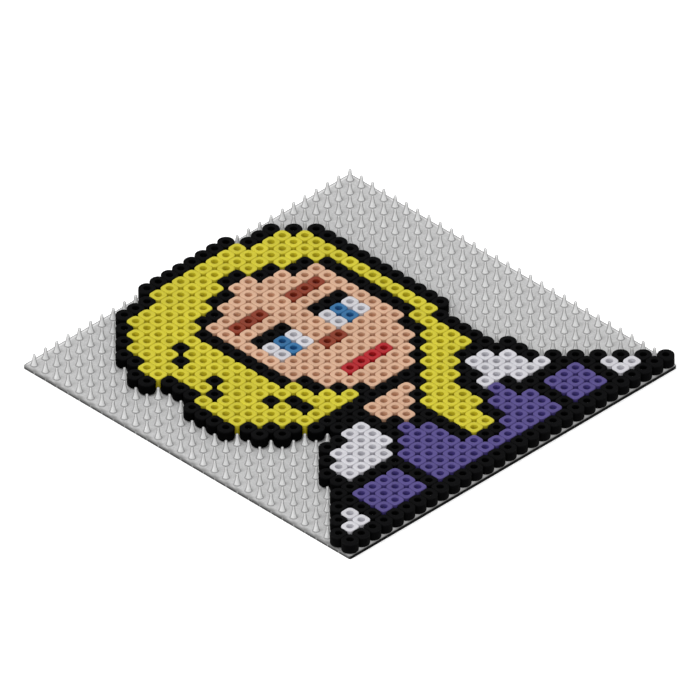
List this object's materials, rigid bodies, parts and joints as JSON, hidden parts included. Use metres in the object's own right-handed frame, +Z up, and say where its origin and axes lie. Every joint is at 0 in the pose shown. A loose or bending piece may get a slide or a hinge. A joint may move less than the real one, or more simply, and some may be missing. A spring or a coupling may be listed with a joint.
{
  "type": "fuse bead pegboard",
  "caption": "Square pegboard with flared pegs, carrying a portrait laid out in short coloured tube beads that lift off their pegs.",
  "frame": {"origin": "middle of the plate's underside, on the surface that the board lies on", "axes": "+X along the picture's lower edge from its left to its right, +Y up the picture, +Z up out of the board, along the pegs"},
  "size_m": [0.1456, 0.1456, 0.0055],
  "materials": {
    "board": "fine grained light grey moulding",
    "pegs": "smooth, slightly frosted, light grey",
    "black_beads": "satin black polyethylene",
    "yellow_beads": "satin yellow polyethylene",
    "skin_beads": "satin peach polyethylene",
    "brown_beads": "satin red-brown polyethylene",
    "white_beads": "satin white polyethylene",
    "blue_beads": "satin blue polyethylene",
    "red_beads": "satin red polyethylene",
    "purple_beads": "satin purple polyethylene"
  },
  "bodies": {
    "pegboard": {"base_plate": "board", "peg_field": "pegs"},
    "crown_outline_beads": {"crown_outline": "black_beads"},
    "left_hair_outline_beads": {"left_hair_outline": "black_beads"},
    "right_hair_outline_beads": {"right_hair_outline": "black_beads"},
    "jaw_line_beads": {"jaw_line": "black_beads"},
    "hairline_beads": {"hairline": "black_beads"},
    "hair_strands_beads": {"hair_strands": "black_beads"},
    "hair_crown_beads": {"hair_crown": "yellow_beads"},
    "hair_left_beads": {"hair_left": "yellow_beads"},
    "hair_right_beads": {"hair_right": "yellow_beads"},
    "front_lock_beads": {"front_lock": "yellow_beads"},
    "lock_outline_beads": {"lock_outline": "black_beads"},
    "forehead_beads": {"forehead": "skin_beads"},
    "face_beads": {"face": "skin_beads"},
    "neck_beads": {"neck": "skin_beads"},
    "brows_beads": {"brows": "brown_beads"},
    "lashes_beads": {"lashes": "black_beads"},
    "eye_whites_beads": {"eye_whites": "white_beads"},
    "irises_beads": {"irises": "blue_beads"},
    "nose_beads": {"nose": "brown_beads"},
    "mouth_beads": {"mouth": "red_beads"},
    "puffs_beads": {"puffs": "white_beads"},
    "cuffs_beads": {"cuffs": "white_beads"},
    "bodice_beads": {"bodice": "purple_beads"},
    "bodice_trim_beads": {"bodice_trim": "black_beads"},
    "sleeves_beads": {"sleeves": "purple_beads"},
    "left_sleeve_outline_beads": {"left_sleeve_outline": "black_beads"},
    "right_sleeve_outline_beads": {"right_sleeve_outline": "black_beads"},
    "bottom_row_beads": {"bottom_row": "black_beads"}
  },
  "joints": [
    {"name": "crown_outline_lift", "type": "slide", "parent": "pegboard", "child": "crown_outline_beads", "axis": [0, 0, 1], "range_m": [0, 0.008]},
    {"name": "left_hair_outline_lift", "type": "slide", "parent": "pegboard", "child": "left_hair_outline_beads", "axis": [0, 0, 1], "range_m": [0, 0.008]},
    {"name": "right_hair_outline_lift", "type": "slide", "parent": "pegboard", "child": "right_hair_outline_beads", "axis": [0, 0, 1], "range_m": [0, 0.008]},
    {"name": "jaw_line_lift", "type": "slide", "parent": "pegboard", "child": "jaw_line_beads", "axis": [0, 0, 1], "range_m": [0, 0.008]},
    {"name": "hairline_lift", "type": "slide", "parent": "pegboard", "child": "hairline_beads", "axis": [0, 0, 1], "range_m": [0, 0.008]},
    {"name": "hair_strands_lift", "type": "slide", "parent": "pegboard", "child": "hair_strands_beads", "axis": [0, 0, 1], "range_m": [0, 0.008]},
    {"name": "hair_crown_lift", "type": "slide", "parent": "pegboard", "child": "hair_crown_beads", "axis": [0, 0, 1], "range_m": [0, 0.008]},
    {"name": "hair_left_lift", "type": "slide", "parent": "pegboard", "child": "hair_left_beads", "axis": [0, 0, 1], "range_m": [0, 0.008]},
    {"name": "hair_right_lift", "type": "slide", "parent": "pegboard", "child": "hair_right_beads", "axis": [0, 0, 1], "range_m": [0, 0.008]},
    {"name": "front_lock_lift", "type": "slide", "parent": "pegboard", "child": "front_lock_beads", "axis": [0, 0, 1], "range_m": [0, 0.008]},
    {"name": "lock_outline_lift", "type": "slide", "parent": "pegboard", "child": "lock_outline_beads", "axis": [0, 0, 1], "range_m": [0, 0.008]},
    {"name": "forehead_lift", "type": "slide", "parent": "pegboard", "child": "forehead_beads", "axis": [0, 0, 1], "range_m": [0, 0.008]},
    {"name": "face_lift", "type": "slide", "parent": "pegboard", "child": "face_beads", "axis": [0, 0, 1], "range_m": [0, 0.008]},
    {"name": "neck_lift", "type": "slide", "parent": "pegboard", "child": "neck_beads", "axis": [0, 0, 1], "range_m": [0, 0.008]},
    {"name": "brows_lift", "type": "slide", "parent": "pegboard", "child": "brows_beads", "axis": [0, 0, 1], "range_m": [0, 0.008]},
    {"name": "lashes_lift", "type": "slide", "parent": "pegboard", "child": "lashes_beads", "axis": [0, 0, 1], "range_m": [0, 0.008]},
    {"name": "eye_whites_lift", "type": "slide", "parent": "pegboard", "child": "eye_whites_beads", "axis": [0, 0, 1], "range_m": [0, 0.008]},
    {"name": "irises_lift", "type": "slide", "parent": "pegboard", "child": "irises_beads", "axis": [0, 0, 1], "range_m": [0, 0.008]},
    {"name": "nose_lift", "type": "slide", "parent": "pegboard", "child": "nose_beads", "axis": [0, 0, 1], "range_m": [0, 0.008]},
    {"name": "mouth_lift", "type": "slide", "parent": "pegboard", "child": "mouth_beads", "axis": [0, 0, 1], "range_m": [0, 0.008]},
    {"name": "puffs_lift", "type": "slide", "parent": "pegboard", "child": "puffs_beads", "axis": [0, 0, 1], "range_m": [0, 0.008]},
    {"name": "cuffs_lift", "type": "slide", "parent": "pegboard", "child": "cuffs_beads", "axis": [0, 0, 1], "range_m": [0, 0.008]},
    {"name": "bodice_lift", "type": "slide", "parent": "pegboard", "child": "bodice_beads", "axis": [0, 0, 1], "range_m": [0, 0.008]},
    {"name": "bodice_trim_lift", "type": "slide", "parent": "pegboard", "child": "bodice_trim_beads", "axis": [0, 0, 1], "range_m": [0, 0.008]},
    {"name": "sleeves_lift", "type": "slide", "parent": "pegboard", "child": "sleeves_beads", "axis": [0, 0, 1], "range_m": [0, 0.008]},
    {"name": "left_sleeve_outline_lift", "type": "slide", "parent": "pegboard", "child": "left_sleeve_outline_beads", "axis": [0, 0, 1], "range_m": [0, 0.008]},
    {"name": "right_sleeve_outline_lift", "type": "slide", "parent": "pegboard", "child": "right_sleeve_outline_beads", "axis": [0, 0, 1], "range_m": [0, 0.008]},
    {"name": "bottom_row_lift", "type": "slide", "parent": "pegboard", "child": "bottom_row_beads", "axis": [0, 0, 1], "range_m": [0, 0.008]}
  ]
}
